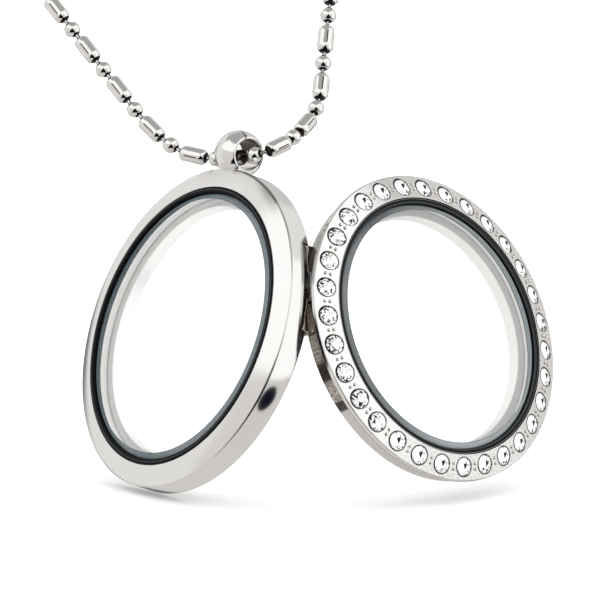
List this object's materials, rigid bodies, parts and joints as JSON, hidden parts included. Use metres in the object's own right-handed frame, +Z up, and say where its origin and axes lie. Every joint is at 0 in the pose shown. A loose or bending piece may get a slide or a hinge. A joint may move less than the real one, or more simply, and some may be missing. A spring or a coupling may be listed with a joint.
{
  "type": "locket necklace",
  "caption": "Round glass-windowed locket that opens like a book, with a crystal-set bezel, a barrel bail and a ball and bar chain.",
  "frame": {"origin": "middle of the clasp, at the nape, where the necklace is held up", "axes": "+X to the wearer's left, -Y to the wearer's front, +Z up"},
  "size_m": [0.1055, 0.1278, 0.2124],
  "materials": {
    "polished_steel": "polished stainless steel, bright, with brushed side walls on the front half",
    "chain_steel": "polished stainless steel balls and faceted bars",
    "black_gasket": "smooth satin black",
    "window_glass": "clear polished glass with a grey-blue bevelled rim",
    "clear_crystal": "clear faceted crystal"
  },
  "bodies": {
    "chain": {"chain": "chain_steel", "clasp": "chain_steel"},
    "back_half": {"back_frame": "polished_steel", "back_gasket": "black_gasket", "back_glass": "window_glass", "hinge_pin": "polished_steel"},
    "front_half": {"front_frame": "polished_steel", "front_gasket": "black_gasket", "front_glass": "window_glass", "crystal_01": "clear_crystal", "crystal_02": "clear_crystal", "crystal_03": "clear_crystal", "crystal_04": "clear_crystal", "crystal_05": "clear_crystal", "crystal_06": "clear_crystal", "crystal_07": "clear_crystal", "crystal_08": "clear_crystal", "crystal_09": "clear_crystal", "crystal_10": "clear_crystal", "crystal_11": "clear_crystal", "crystal_12": "clear_crystal", "crystal_13": "clear_crystal", "crystal_14": "clear_crystal", "crystal_15": "clear_crystal", "crystal_16": "clear_crystal", "crystal_17": "clear_crystal", "crystal_18": "clear_crystal", "crystal_19": "clear_crystal", "crystal_20": "clear_crystal", "crystal_21": "clear_crystal", "crystal_22": "clear_crystal", "crystal_23": "clear_crystal", "crystal_24": "clear_crystal", "crystal_25": "clear_crystal", "crystal_26": "clear_crystal", "crystal_27": "clear_crystal", "crystal_28": "clear_crystal", "crystal_29": "clear_crystal", "crystal_30": "clear_crystal", "crystal_31": "clear_crystal"}
  },
  "joints": [
    {"name": "pendant_swing", "type": "hinge", "parent": "chain", "child": "back_half", "pos_m": [0.001, -0.1087, -0.1808], "axis": [0.5968, -0.7999, 0.0638], "range_deg": [-25, 25]},
    {"name": "locket_hinge", "type": "hinge", "parent": "back_half", "child": "front_half", "pos_m": [0.00683, -0.12147, -0.19152], "axis": [0.035, 0.5217, 0.8524], "range_deg": [0, 90.5]}
  ]
}
